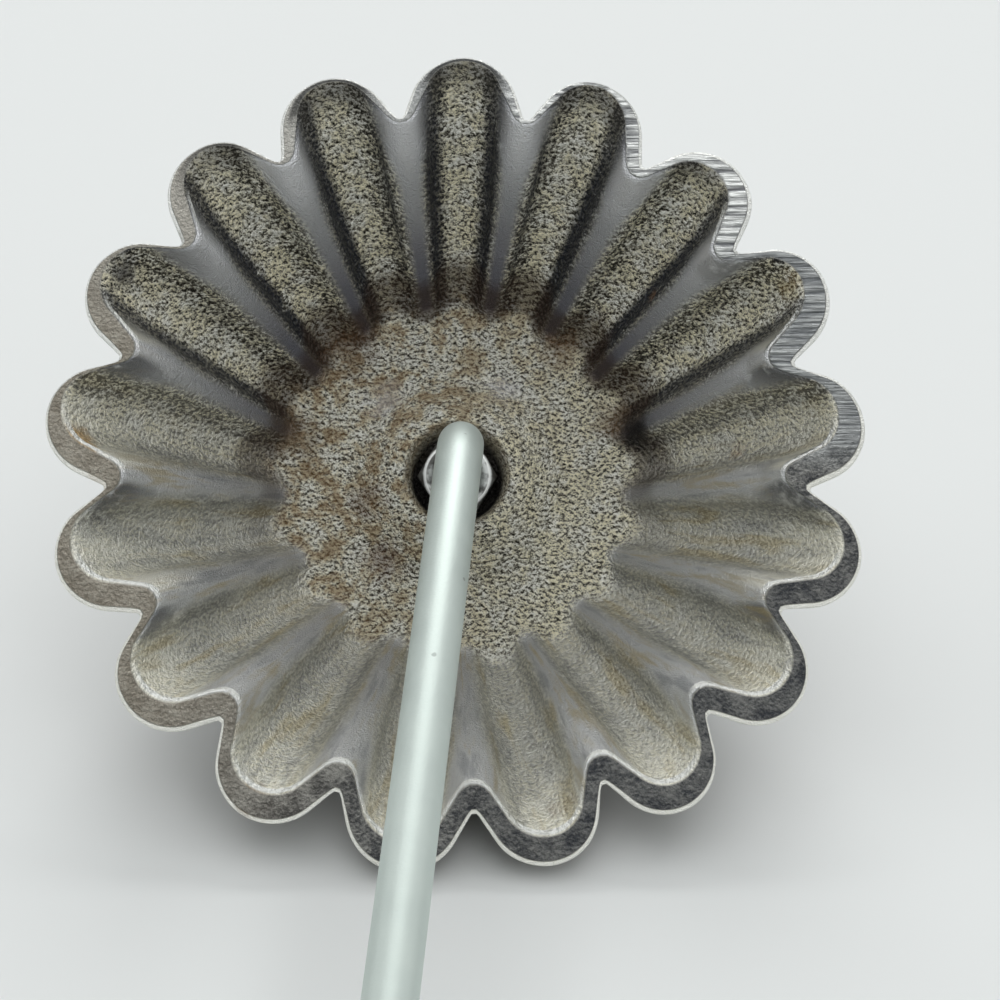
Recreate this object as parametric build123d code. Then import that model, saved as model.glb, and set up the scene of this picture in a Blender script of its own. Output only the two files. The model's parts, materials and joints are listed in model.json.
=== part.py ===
from build123d import *
import math
import os

os.makedirs("parts", exist_ok=True)

# A rosette iron of the timbale kind: a fluted aluminium cup on a bent steel rod with a
# turned wooden handle. All sizes are in millimetres and angles in degrees.
#
# The pieces are drawn in the cup's own frame: +Z is the thread axis, pointing out of the
# open side, the rim lies in the plane Z = 0, and +Y points away from the table. The whole
# iron is then laid on the table, on its two lowest flutes and the end of the handle.

# Cup, outside
flute_count = 17
rim_tip_radius = 45.0
rim_notch_radius = 38.5
rim_lobe_radius = 6.2
cup_height = 28.2
base_tip_radius = 19.4
base_notch_radius = 18.0
base_lobe_radius = 3.4
heel_height = 1.6
heel_inset = 0.9

# Cup, inside. The core that shaped the hollow sat a little high in the mould, so the
# hollow and the thread lie off the centre of the outside by core_shift. The wall is
# thinnest on the upper sides of the side flutes, where it is still half a millimetre.
core_shift = 1.5
rim_wall = 2.2
rim_channel_radius = 4.0
cavity_depth = 22.7
floor_tip_radius = 21.2
floor_notch_radius = 19.3
floor_lobe_radius = 2.5
floor_corner_height = 2.1

# Raised centre of the floor, with the well for the lock nut and the tapped hole
mound_height = 4.1
mound_top_radius = 7.4
mound_flank_angle = 38.0
mound_foot_round = 3.5
mound_top_round = 1.2
well_radius = 5.8
well_mouth_round = 0.5
thread_pitch = 0.8
thread_turns = 5.5
thread_depth = thread_turns * thread_pitch
hole_end_gap = 0.3

# Rod
rod_radius = 2.5
bend_above_rim = 2.6
bend_angle = 53.0
bend_radius = 10.0
rod_turn = 7.0
bare_length = 88.0
tang_length = 46.0
thread_tip_chamfer = 0.6
tang_tip_chamfer = 0.8

# Lock nut
nut_across_flats = 8.0
nut_thickness = 2.7
nut_chamfer_angle = 30.0

# Running clearance of the rod in the nut and in the tapped hole, per side
thread_clearance = 0.05

# Ferrule and handle, measured along the rod's long leg
ferrule_length = 15.0
ferrule_wall = 0.8
ferrule_front_radius = 5.6
ferrule_back_radius = 6.6
ferrule_edge_round = 0.6
tenon_length = 12.0
handle_length = 96.0
handle_neck_radius = 6.9
handle_swell_radius = 10.8
handle_swell_place = 36.0
handle_waist_radius = 8.9
handle_waist_place = 70.0
handle_end_radius = 10.0

flute_step = 360.0 / flute_count

# Height and inset of the rim, the top of the heel and the base
outside_levels = [(0.0, 0.0), (heel_height - cup_height, 0.0), (-cup_height, heel_inset)]


def fluted_face(tip_radius, notch_radius, lobe_radius, height, centre_y=0.0):
    """A closed outline of round lobes joined by small round notches, as a flat face.

    The notch arc touches both lobe arcs, and its bottom lies on notch_radius.
    The first lobe points up, along +Y.
    """
    lobe_place = tip_radius - lobe_radius
    half_step = math.radians(flute_step / 2)
    gap = lobe_place**2 + notch_radius**2 - lobe_radius**2
    gap -= 2 * lobe_place * notch_radius * math.cos(half_step)
    notch_round = gap / (2 * (lobe_radius - notch_radius + lobe_place * math.cos(half_step)))
    notch_place = notch_radius + notch_round

    def polar(radius, angle):
        return Vector(radius * math.sin(angle), radius * math.cos(angle), 0)

    # The arcs meet on the line between their centres
    lobe_centre = polar(lobe_place, 0)
    toward_notch = (polar(notch_place, half_step) - lobe_centre).normalized()
    meeting = lobe_centre + toward_notch * lobe_radius
    meeting_radius = meeting.length
    meeting_angle = math.atan2(meeting.X, meeting.Y)

    arcs = []
    for index in range(flute_count):
        middle = math.radians(index * flute_step)
        start = polar(meeting_radius, middle - meeting_angle)
        end = polar(meeting_radius, middle + meeting_angle)
        arcs.append(ThreePointArc(start, polar(tip_radius, middle), end))
        bottom = polar(notch_radius, middle + half_step)
        next_start = polar(meeting_radius, middle + 2 * half_step - meeting_angle)
        arcs.append(ThreePointArc(end, bottom, next_start))
    return Pos(0, centre_y, height) * make_face(Wire(arcs))


def between(low, high, share):
    return low + (high - low) * share


def outside_radii(height, inset=0.0):
    """Tip, notch and lobe radius of the outside at one height."""
    share = -height / cup_height
    tip = between(rim_tip_radius, base_tip_radius, share) - inset
    notch = between(rim_notch_radius, base_notch_radius, share) - inset
    lobe = between(rim_lobe_radius, base_lobe_radius, share)
    return tip, notch, lobe


def cup_outside():
    """Straight fluted wall from the rim down to the heel, and a small turned-in heel."""
    sections = [
        fluted_face(*outside_radii(height, inset), height, -core_shift)
        for height, inset in outside_levels
    ]
    return loft(sections, ruled=True)


def cup_hollow():
    """The core's shape: channels that narrow down to the scalloped edge of the floor."""

    def level(height, inset=0.0):
        share = -height / cavity_depth
        tip = between(rim_tip_radius - rim_wall, floor_tip_radius, share) - inset
        notch = between(rim_notch_radius - rim_wall, floor_notch_radius, share) - inset
        lobe = between(rim_channel_radius, floor_lobe_radius, share)
        return fluted_face(tip, notch, lobe, height)

    above_rim = 1.0
    floor = -cavity_depth
    # Two narrow bands round the corner between wall and floor
    corner_top = floor + floor_corner_height
    corner_middle = floor + 0.35 * floor_corner_height
    sections = [
        level(above_rim),
        level(corner_top),
        level(corner_middle, 0.22 * floor_corner_height),
        level(floor, 0.85 * floor_corner_height),
    ]
    return loft(sections, ruled=True)


def circle_edges(solid, radius, height):
    """The round edges of one radius about the thread axis, at one height."""
    edges = solid.edges().filter_by(GeomType.CIRCLE)
    near = [
        edge
        for edge in edges
        if abs(edge.radius - radius) < 0.01
        and abs(edge.center(CenterOf.BOUNDING_BOX).Z - height) < 0.01
    ]
    return ShapeList(near)


def make_fluted_mould():
    floor = -cavity_depth
    mould = cup_outside() - cup_hollow()

    # The mound is a short cone, rooted in the floor, with a round foot and a round top
    root = 1.0
    slope = math.tan(math.radians(mound_flank_angle))
    foot_radius = mound_top_radius + mound_height / slope
    root_radius = mound_top_radius + (mound_height + root) / slope
    cone = Cone(root_radius, mound_top_radius, mound_height + root)
    mould += Pos(0, 0, floor + (mound_height - root) / 2) * cone
    mould = fillet(circle_edges(mould, foot_radius, floor), mound_foot_round)
    mound_top = floor + mound_height
    mould = fillet(circle_edges(mould, mound_top_radius, mound_top), mound_top_round)

    well = Cylinder(well_radius, mound_height, align=(Align.CENTER, Align.CENTER, Align.MIN))
    mould -= Pos(0, 0, floor) * well
    mould = fillet(circle_edges(mould, well_radius, mound_top), well_mouth_round)

    hole_depth = thread_depth + hole_end_gap
    hole = Cylinder(
        rod_radius + thread_clearance,
        hole_depth,
        align=(Align.CENTER, Align.CENTER, Align.MAX),
    )
    mould -= Pos(0, 0, floor) * hole
    return mould.solid()


# The rod's long leg leaves the bend in this direction, over one of the two lowest flutes
lean = Vector(
    -math.sin(math.radians(bend_angle)) * math.sin(math.radians(rod_turn)),
    -math.sin(math.radians(bend_angle)) * math.cos(math.radians(rod_turn)),
    math.cos(math.radians(bend_angle)),
)
bend_corner = Vector(0, 0, bend_above_rim)
handle_plane = Plane(origin=bend_corner, z_dir=lean)


def make_rod():
    thread_tip = Vector(0, 0, -cavity_depth - thread_depth)
    tang_tip = bend_corner + lean * (bare_length + tang_length)
    path = FilletPolyline(thread_tip, bend_corner, tang_tip, radius=bend_radius)
    rod = sweep(Plane(origin=thread_tip, z_dir=(0, 0, 1)) * Circle(rod_radius), path)
    ends = rod.edges().filter_by(GeomType.CIRCLE)
    rod = chamfer(ends.sort_by_distance(thread_tip)[0], thread_tip_chamfer)
    ends = rod.edges().filter_by(GeomType.CIRCLE)
    rod = chamfer(ends.sort_by_distance(tang_tip)[0], tang_tip_chamfer)
    return rod.solid()


def make_lock_nut():
    """A thin hexagon nut on the floor of the well, its top corners turned off."""
    corner_radius = nut_across_flats / 2 / math.cos(math.radians(30))
    nut = extrude(RegularPolygon(corner_radius, 6), nut_thickness)
    # A cone that cuts the corners and leaves a round top face
    drop = (corner_radius - nut_across_flats / 2) * math.tan(math.radians(nut_chamfer_angle))
    top_radius = nut_across_flats / 2
    turning = Cone(
        corner_radius + (nut_thickness - drop) / math.tan(math.radians(nut_chamfer_angle)),
        top_radius,
        nut_thickness,
        align=(Align.CENTER, Align.CENTER, Align.MIN),
    )
    nut &= turning
    nut -= Cylinder(
        rod_radius + thread_clearance,
        nut_thickness,
        align=(Align.CENTER, Align.CENTER, Align.MIN),
    )
    return (Pos(0, 0, -cavity_depth) * nut).solid()


def make_ferrule():
    """A tapered cap with a hole for the rod in its front face."""
    back = bare_length + ferrule_length
    front = bare_length
    inner_front = front + ferrule_wall
    outline = Polyline(
        (rod_radius, front),
        (ferrule_front_radius, front),
        (ferrule_back_radius, back),
        (ferrule_back_radius - ferrule_wall, back),
        (ferrule_front_radius - ferrule_wall, inner_front),
        (rod_radius, inner_front),
        close=True,
    )
    ferrule = revolve(Plane.XZ * make_face(outline), Axis.Z)
    front_edge = ferrule.edges().filter_by(GeomType.CIRCLE)
    front_edge = front_edge.filter_by(lambda edge: abs(edge.radius - ferrule_front_radius) < 0.01)
    ferrule = fillet(front_edge, ferrule_edge_round)
    return (handle_plane.location * ferrule).solid()


def make_handle():
    """Turned wood: a tapered tenon in the ferrule, a swell, a waist and a round end."""
    tenon_front = bare_length + ferrule_length - tenon_length
    shoulder = bare_length + ferrule_length
    end = shoulder + handle_length
    end_centre = end - handle_end_radius

    ferrule_taper = (ferrule_back_radius - ferrule_front_radius) / (ferrule_length - ferrule_wall)
    tenon_back_radius = ferrule_back_radius - ferrule_wall
    tenon_front_radius = tenon_back_radius - ferrule_taper * tenon_length

    tenon = Polyline(
        (0, end),
        (0, tenon_front),
        (tenon_front_radius, tenon_front),
        (tenon_back_radius, shoulder),
        (handle_neck_radius, shoulder),
    )
    barrel = Spline(
        (handle_neck_radius, shoulder),
        (handle_swell_radius, shoulder + handle_swell_place),
        (handle_waist_radius, shoulder + handle_waist_place),
        (handle_end_radius, end_centre),
        tangents=[(0.5, 1), (0, 1)],
    )
    slant = handle_end_radius * math.sqrt(0.5)
    dome = ThreePointArc(
        (handle_end_radius, end_centre),
        (slant, end_centre + slant),
        (0, end),
    )
    outline = make_face(Wire([*tenon.edges(), barrel, dome]))
    handle = revolve(Plane.XZ * outline, Axis.Z)

    tang_hole = Cylinder(
        rod_radius,
        tang_length - (tenon_front - bare_length),
        align=(Align.CENTER, Align.CENTER, Align.MIN),
    )
    handle -= Pos(0, 0, tenon_front) * tang_hole
    return (handle_plane.location * handle).solid()


def resting_place():
    """Where the cup's frame goes when the iron lies on the table.

    The table touches the round end of the handle and the two lowest flutes, either at
    their rim or at their heel. A flute stands lowest where the thread axis tilts least.
    """
    half_step = math.radians(flute_step / 2)
    end_distance = bare_length + ferrule_length + handle_length - handle_end_radius
    end_centre = bend_corner + lean * end_distance

    def lowest_on_flutes(height, inset):
        tip, _, lobe = outside_radii(height, inset)
        return Vector(0, -core_shift - (tip - lobe) * math.cos(half_step) - lobe, height)

    def tilt_on(contact):
        # cos(tilt) * across + sin(tilt) * along = handle_end_radius
        across = end_centre.Y - contact.Y
        along = end_centre.Z - contact.Z
        reach = math.hypot(across, along)
        return math.asin(handle_end_radius / reach) - math.atan2(across, along)

    contact = min((lowest_on_flutes(*level) for level in outside_levels), key=tilt_on)
    tilt = tilt_on(contact)
    up = Vector(0, math.cos(tilt), math.sin(tilt))
    level_lean = (lean - up * lean.dot(up)).normalized()
    # The handle points along -Y of the finished part
    table = Plane(
        origin=up * up.dot(contact),
        x_dir=up.cross(level_lean),
        z_dir=up,
    )
    return table.location.inverse(), math.degrees(tilt)


pieces = {
    "fluted_mould": make_fluted_mould(),
    "rod": make_rod(),
    "lock_nut": make_lock_nut(),
    "ferrule": make_ferrule(),
    "handle": make_handle(),
}

# Lay the iron on the table, and put the origin below the middle of its box
rest, tilt_degrees = resting_place()
laid = {name: rest * piece for name, piece in pieces.items()}
box = Compound(list(laid.values())).bounding_box()
centred = Pos(-box.center().X, -box.center().Y, 0)
placed = {name: centred * piece for name, piece in laid.items()}
cup_place = centred * rest

for name, piece in placed.items():
    piece.label = name
    export_step(piece, f"parts/{name}.step")

thread_axis = (cup_place * Pos(0, 0, -1)).position - cup_place.position
base_centre = (cup_place * Pos(0, -core_shift, -cup_height)).position
print("thread axis tilt", round(tilt_degrees, 3))
print("travel of the cup in one turn", thread_pitch)
print("thread axis, leaving the rod", [round(value, 6) for value in thread_axis])
print("rim centre on the thread axis", [round(value, 4) for value in cup_place.position])
print("base centre", [round(value, 4) for value in base_centre])
print("box", box.size, "lowest", round(box.min.Z, 4))
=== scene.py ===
# %% [markdown]
# # A rosette iron, dressed around its fixed frame
# The iron fries batter into fluted cups. It has a cast aluminium cup, a bent and plated steel
# rod, a thin lock nut, a ferrule and a turned wooden handle. Its solids already stand in the
# right place and at the right size. This script gives each piece a finer mesh and its finish.

import json
import math

import bmesh
import bpy
from mathutils import Matrix, Vector, noise


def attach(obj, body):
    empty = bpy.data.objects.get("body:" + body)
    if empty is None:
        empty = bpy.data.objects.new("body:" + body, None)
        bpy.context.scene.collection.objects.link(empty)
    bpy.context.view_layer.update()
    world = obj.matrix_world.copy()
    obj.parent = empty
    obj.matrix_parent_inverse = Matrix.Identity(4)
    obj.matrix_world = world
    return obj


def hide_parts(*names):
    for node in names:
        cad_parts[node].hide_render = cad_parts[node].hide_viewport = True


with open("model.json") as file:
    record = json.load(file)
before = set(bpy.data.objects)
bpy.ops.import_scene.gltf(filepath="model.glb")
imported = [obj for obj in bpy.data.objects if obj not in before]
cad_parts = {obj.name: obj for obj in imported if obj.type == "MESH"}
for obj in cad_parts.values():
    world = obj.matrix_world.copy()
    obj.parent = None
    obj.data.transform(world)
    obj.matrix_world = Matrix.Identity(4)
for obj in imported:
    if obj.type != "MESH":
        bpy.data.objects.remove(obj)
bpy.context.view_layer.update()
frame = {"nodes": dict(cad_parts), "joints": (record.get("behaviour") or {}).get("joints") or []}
print("pieces", sorted(frame["nodes"]))

# %% [markdown]
# ## One frame for the cup
# The cup leans on two of its flutes, so its own axes aren't those of the table. The thread
# joint tells where the cup's axis runs. Every piece is drawn in millimetres about that axis,
# with +Z out of the open side, and is then laid in its place on the table.

# %% The cup's own frame
thread_joint = next(joint for joint in frame["joints"] if joint["name"] == "cup_turn")
rim_centre = Vector(thread_joint["pos_m"])
out_of_cup = -Vector(thread_joint["axis"]).normalized()
level_way = Vector((0, 0, 1)).cross(out_of_cup).normalized()
away_from_table = out_of_cup.cross(level_way)
turned = Matrix((level_way, away_from_table, out_of_cup)).transposed().to_4x4()
cup_frame = Matrix.Translation(rim_centre) @ turned @ Matrix.Scale(0.001, 4)
tilt = math.degrees(math.asin(out_of_cup.z))
print("cup axis above level, degrees", round(tilt, 1))

# %% [markdown]
# ## The camera
# The photograph looks down at the open cup from about 35 degrees above the table, and the
# handle points past the camera. A long lens keeps the rim round. The camera is set before
# the pieces, so that each of them can be judged in the picture's own view.

# %% Camera
camera_place = Vector((0.01658, -0.14029, 0.18368))
camera_looks = Vector((-0.04412, 0.81830, -0.57309))
camera_roll = 1.64
camera_lens = 90

camera = bpy.data.objects.new("camera", bpy.data.cameras.new("camera"))
camera.data.lens = camera_lens
camera.data.sensor_width = 36
camera.data.clip_start = 0.01
camera.location = camera_place
roll = Matrix.Rotation(math.radians(camera_roll), 4, "Z")
camera.rotation_mode = "QUATERNION"
looking = camera_looks.to_track_quat("-Z", "Y").to_matrix().to_4x4()
camera.rotation_quaternion = (looking @ roll).to_quaternion()
bpy.context.scene.collection.objects.link(camera)
bpy.context.scene.camera = camera
print("camera from the rim's centre, mm", round(1000 * (camera_place - rim_centre).length))

# %% [markdown]
# ## Scalloped rings
# The cup is a stack of rings. Each ring is a row of round lobes, whose straight flanks run
# down to small round notches. A ring is grown from the last one with an extrude, and its
# points are then moved to their new place. Each point keeps its number in the ring, so the
# flutes stay in line.

# %% Points of a scalloped ring
flute_count = 17
points_per_flute = 40
lobe_share = 0.65
rim_tip_radius = 45.0
flute_step = 2 * math.pi / flute_count

# The pattern was carved by hand: each flute leans aside by some degrees from an even spacing,
# and some stop a little short of the rim's radius, in millimetres
flute_leans = [0.6, 0, 0.4, -0.2, 0.6, -0.1, -0.4, -1.3, -2.5]
flute_leans += [-1.6, -1.0, -0.7, -0.4, 0, -0.1, 0.4, 0.4]
flute_shortfalls = [0, 0, 0.4, 0.25, 0.8, 0.2, 0, 0, 0, 0, 0, 0.2, 0, 0, 0, 0, 0]


def between(low, high, share):
    return low + (high - low) * share


def smooth_step(low, high, value):
    share = min(max((value - low) / (high - low), 0), 1)
    return share * share * (3 - 2 * share)


def direction(angle):
    """Clockwise from up, as seen from the open side."""
    return Vector((math.sin(angle), math.cos(angle)))


def flute_places():
    """For each point of a ring, its flute's angle and how far it is across the flute."""
    for flute in range(flute_count):
        for point in range(points_per_flute):
            yield flute * flute_step, 2 * (point + 0.5) / points_per_flute - 1


def at_place(values, flute_angle, across):
    """A value given for each flute, blended towards the next flute."""
    flute = round(flute_angle / flute_step)
    neighbour = (flute + (1 if across > 0 else -1)) % flute_count
    return between(values[flute], values[neighbour], abs(across) / 2)


def scallops(tip, notch, lobe, notch_fullness):
    """Lobe arcs whose tips lie on one radius, joined by notch arcs.
    A notch of full size touches the lobes. A smaller one is joined to them by straight flanks."""
    half_step = flute_step / 2
    lobe_place = tip - lobe
    gap = lobe_place**2 + notch**2 - lobe**2
    gap -= 2 * lobe_place * notch * math.cos(half_step)
    notch_round = notch_fullness * gap / (2 * (lobe - notch + lobe_place * math.cos(half_step)))
    notch_centre = (notch + notch_round) * direction(half_step)
    toward_notch = notch_centre - Vector((0, lobe_place))
    flank_turn = math.acos(min(1, (lobe + notch_round) / toward_notch.length))
    lobe_turn = math.atan2(toward_notch.x, toward_notch.y) - flank_turn
    flank_start = Vector((0, lobe_place)) + lobe * direction(lobe_turn)
    flank = notch_centre - notch_round * direction(lobe_turn) - flank_start
    flank_part = flank.length / (flank.length + notch_round * (lobe_turn - half_step))
    points = []
    for flute_angle, across in flute_places():
        past_lobe = (abs(across) - lobe_share) / (1 - lobe_share)
        if past_lobe <= 0:
            point = Vector((0, lobe_place)) + lobe * direction(across / lobe_share * lobe_turn)
        elif past_lobe < flank_part:
            point = flank_start + flank * past_lobe / flank_part
        else:
            turn = between(half_step, lobe_turn, (1 - past_lobe) / (1 - flank_part))
            point = notch_centre - notch_round * direction(turn)
        if past_lobe > 0:
            point.x = math.copysign(point.x, across)
        lean = math.radians(at_place(flute_leans, flute_angle, across))
        point.rotate(Matrix.Rotation(-flute_angle - lean, 2))
        shortfall = at_place(flute_shortfalls, flute_angle, across) * tip / rim_tip_radius
        points.append(point - point.normalized() * shortfall)
    return points


def circle(radius):
    return [radius * direction(angle + across * flute_step / 2) for angle, across in flute_places()]


def level(points, height):
    return [Vector((point.x, point.y, height)) for point in points]


def blended(ring_a, ring_b, share):
    return [a.lerp(b, share) for a, b in zip(ring_a, ring_b)]


print("points in a ring", flute_count * points_per_flute)

# %% [markdown]
# ## The cup's sizes
# The outside narrows from the rim to a flat base. The core that shaped the hollow sat a
# little high in the mould, so the wall is thick at the bottom and thin at the top. Each
# outline is given by the radius of its lobes' tips, the radius of its notches and the round
# of a lobe. The notches are sharp at the rim and turn full and round further in.

# %% Outside and inside of the cup
cup_height = 28.2
cavity_depth = 22.7
core_shift = 1.5
rim_wall = 2.2
rim_notch_radius = 38.5
rim_lobe_round = 6.2
rim_channel_round = 4.0
base_tip_radius, base_notch_radius, base_lobe_round = 19.4, 18.0, 3.4
floor_tip_radius, floor_notch_radius, floor_channel_round = 21.2, 19.3, 2.5
outer_notch_fullness = 0.33
inner_notch_fullness = 0.62
filed_bearing = math.radians(64)
filed_lip = 1.3
filed_depth = 4.0


def outside(height, inset=0.0):
    share = -height / cup_height
    points = scallops(
        between(rim_tip_radius, base_tip_radius, share) - inset,
        between(rim_notch_radius, base_notch_radius, share) - inset,
        between(rim_lobe_round, base_lobe_round, share) - inset,
        outer_notch_fullness,
    )
    return level([point - Vector((0, core_shift)) for point in points], height)


def filed_wider(point, height):
    """The file cut deepest at the upper right, so the rim is wider there."""
    toward_file = point.normalized().dot(direction(filed_bearing))
    lip = filed_lip * smooth_step(0.70, 0.93, toward_file) * max(0, 1 + height / filed_depth)
    return point - point.normalized() * lip


def inside(height, inset=0.0):
    share = -height / cavity_depth
    points = scallops(
        between(rim_tip_radius - rim_wall, floor_tip_radius, share) - inset,
        between(rim_notch_radius - rim_wall, floor_notch_radius, share) - inset,
        between(rim_channel_round, floor_channel_round, share) - inset,
        between(inner_notch_fullness, 1.0, smooth_step(0, 0.22, share)),
    )
    return level([filed_wider(point, height) for point in points], height)


rim_walls = [(b - a).length for a, b in zip(outside(0), inside(0))]
print("wall at the rim, mm", round(min(rim_walls), 2), "to", round(max(rim_walls), 2))

# %% [markdown]
# ## Soft corners
# Nothing on a casting or a turned piece is dead sharp. One helper rounds a corner between
# three rings of points. The other rounds the corners of a flat section, each by its radius.

# %% Helpers for corners
def moved(ring, toward, lengths):
    """Each point of the ring, moved by its length towards its partner in the other ring."""
    return [a + (b - a).normalized() * length for a, b, length in zip(ring, toward, lengths)]


def round_corner(start, corner, end, steps):
    """Rings from start to end on a curve that bends towards the corner."""
    for step in range(steps + 1):
        share = step / steps
        yield blended(blended(start, corner, share), blended(corner, end, share), share)


def rounded(corners, steps=5):
    """corners are (x, y, radius). A corner with a radius becomes an arc of steps + 1 points."""
    path = []
    for index, (x, y, radius) in enumerate(corners):
        corner = Vector((x, y))
        if not radius:
            path.append(corner)
            continue
        before = (Vector(corners[index - 1][:2]) - corner).normalized()
        after = (Vector(corners[index + 1][:2]) - corner).normalized()
        half_angle = before.angle(after) / 2
        centre = corner + (before + after).normalized() * radius / math.sin(half_angle)
        start = (corner + before * radius / math.tan(half_angle) - centre).normalized()
        end = (corner + after * radius / math.tan(half_angle) - centre).normalized()
        for step in range(steps + 1):
            path.append(centre + radius * start.slerp(end, step / steps))
    return path


square_corner = rounded([(0, 1, 0), (0, 0, 0.2), (1, 0, 0)])
print("points on a rounded corner", len(square_corner) - 2)

# %% [markdown]
# ## The order of the rings
# One skin runs from the middle of the base, up the outside, over the rim, down the flutes,
# across the floor, over the raised centre and down the well to the end of the tapped hole.
# A station number goes with each ring, and the finish reads it to know where it is: -4 to -3
# is the base, -3 to -2 the outside, -1.5 to 0 the rim, 0 to 1 the flutes, 1 to 1.8 the floor,
# 2 to 3 the raised centre, and more than that the well.

# %% Rings of the cup
mound_height = 4.1
mound_top_radius = 7.4
mound_flank = math.tan(math.radians(38))
mound_foot_radius = mound_top_radius + mound_height / mound_flank
well_radius = 5.8
well_bottom_radius = 4.9
rod_radius = 2.5
thread_clearance = 0.05
hole_depth = 4.7


def base_and_outside():
    low = -cup_height
    base_edge = outside(low, 2.2)
    middle = [point - Vector((0, core_shift, 0)) for point in level(circle(1.0), low)]
    for share in (0, 0.2, 0.45, 0.7, 0.88, 1):
        yield blended(middle, base_edge, share), -4 + share
    for inset, rise in ((1.45, 0.06), (0.9, 0.3), (0.4, 0.8), (0.12, 1.4)):
        yield outside(low + rise, inset), -3
    wall_rings = 30
    for ring in range(wall_rings):
        height = between(low + 2.1, -0.6, ring / (wall_rings - 1))
        yield outside(height), -3 + ring / wall_rings


def rim():
    """The thin upper wall has small rounds, and the thick lower wall has wide ones."""
    outer, inner = outside(0), inside(0)
    outer_rounds = [min(0.45, 0.35 * wall) for wall in rim_walls]
    inner_rounds = [min(0.8, 0.5 * wall) for wall in rim_walls]
    face_start = moved(outer, inner, outer_rounds)
    face_end = moved(inner, outer, inner_rounds)
    for ring in round_corner(moved(outer, outside(-1), outer_rounds), outer, face_start, 4):
        yield ring, -1.5
    for share in (0.2, 0.4, 0.6, 0.8):
        yield blended(face_start, face_end, share), -1 + 0.5 * share
    channel_start = moved(inner, inside(-1), inner_rounds)
    for number, ring in enumerate(round_corner(face_end, inner, channel_start, 5)):
        yield ring, -0.5 + 0.1 * number


def flutes_and_floor():
    wall_rings = 38
    corner_height, corner_inset = 2.1, 1.8
    corner_top = -cavity_depth + corner_height
    for ring in range(wall_rings):
        share = ring / wall_rings
        yield inside(between(-1.1, corner_top, share)), 0.03 + 0.97 * share
    corner_steps = 6
    for step in range(corner_steps + 1):
        share = step / corner_steps
        height = -cavity_depth + corner_height * (1 - share) ** 2
        yield inside(height, corner_inset * share**2), 1 + 0.2 * share
    floor_edge, foot = inside(-cavity_depth, corner_inset), level(circle(14.6), -cavity_depth)
    for share in (0.2, 0.4, 0.6, 0.8):
        yield blended(floor_edge, foot, share), between(1.2, 1.8, share)


def mound_and_well():
    floor = -cavity_depth
    top = floor + mound_height
    hole_radius = rod_radius + thread_clearance
    section = rounded(
        [
            (mound_foot_radius + 1.5, floor, 0),
            (mound_foot_radius, floor, 3.5),
            (mound_top_radius, top, 1.2),
            (well_radius, top, 1.1),
            (between(well_bottom_radius, well_radius, 0.5), between(floor, top, 0.5), 0),
            (well_bottom_radius, floor, 0.4),
            (between(hole_radius, well_bottom_radius, 0.4), floor, 0),
            (hole_radius, floor, 0.15),
            (hole_radius, floor - hole_depth, 0.2),
            (0.3, floor - hole_depth, 0),
        ]
    )
    for point in section:
        yield level(circle(point.x), point.y), 3 + max(-1, 1 - point.x / well_radius)


print("foot of the raised centre, radius in mm", round(mound_foot_radius, 1))

# %% [markdown]
# ## Growing a skin
# The first ring is a circle. Each later ring is an extrude of the last ring's edges, so the
# skin stays whole. Each point keeps its station along the skin and its number in the ring.

# %% Skin from rings
# Points nearer to each other than this, in millimetres, are one point
same_place = 0.00001


def grown_ring(skin, edges):
    """A new ring of points, and the edges between them, extruded from the last edges."""
    grown = bmesh.ops.extrude_edge_only(skin, edges=edges)["geom"]
    ring = [item for item in grown if isinstance(item, bmesh.types.BMVert)]
    grown_edges = [item for item in grown if isinstance(item, bmesh.types.BMEdge)]
    return ring, [edge for edge in grown_edges if set(edge.verts) <= set(ring)]


def grow_skin(rings):
    skin = bmesh.new()
    place_in_ring = skin.verts.layers.int.new("place_in_ring")
    station_layer = skin.verts.layers.float.new("station")
    ring = bmesh.ops.create_circle(skin, segments=len(rings[0][0]), radius=1)["verts"]
    for place, vert in enumerate(ring):
        vert[place_in_ring] = place
    edges = list(skin.edges)
    for number, (points, station) in enumerate(rings):
        if number:
            ring, edges = grown_ring(skin, edges)
        for vert in ring:
            vert.co = points[vert[place_in_ring]]
            vert[station_layer] = station
    return skin


def close_ends(skin):
    """Each open end is a small ring by now, and its points are merged into one."""
    ends = {}
    for vert in skin.verts:
        if vert.is_boundary:
            ends.setdefault(round(vert.co.z, 2), []).append(vert)
    for verts in ends.values():
        middle = sum((vert.co for vert in verts), Vector()) / len(verts)
        bmesh.ops.pointmerge(skin, verts=verts, merge_co=middle)
    bmesh.ops.recalc_face_normals(skin, faces=skin.faces)


cup_rings = [*base_and_outside(), *rim(), *flutes_and_floor(), *mound_and_well()]
cup_skin = grow_skin(cup_rings)
close_ends(cup_skin)
print("rings", len(cup_rings), "faces", len(cup_skin.faces))

# %% [markdown]
# ## Cast unevenness
# Sand leaves a casting a little uneven. Slow waves make the flutes differ from each other,
# and short ones roughen the channels. The finest grain, under half a millimetre, is left to
# the bump of the finish. All of it goes into the metal, so the cup keeps to its box. What the
# finish has to know of each point is kept with it: its place before the waves, how far it is
# from the middle of its flute, and whether it faces up.

# %% Uneven skin
wave_lengths = (11, 3.2, 1.2)
well_station = 3.02


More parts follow.
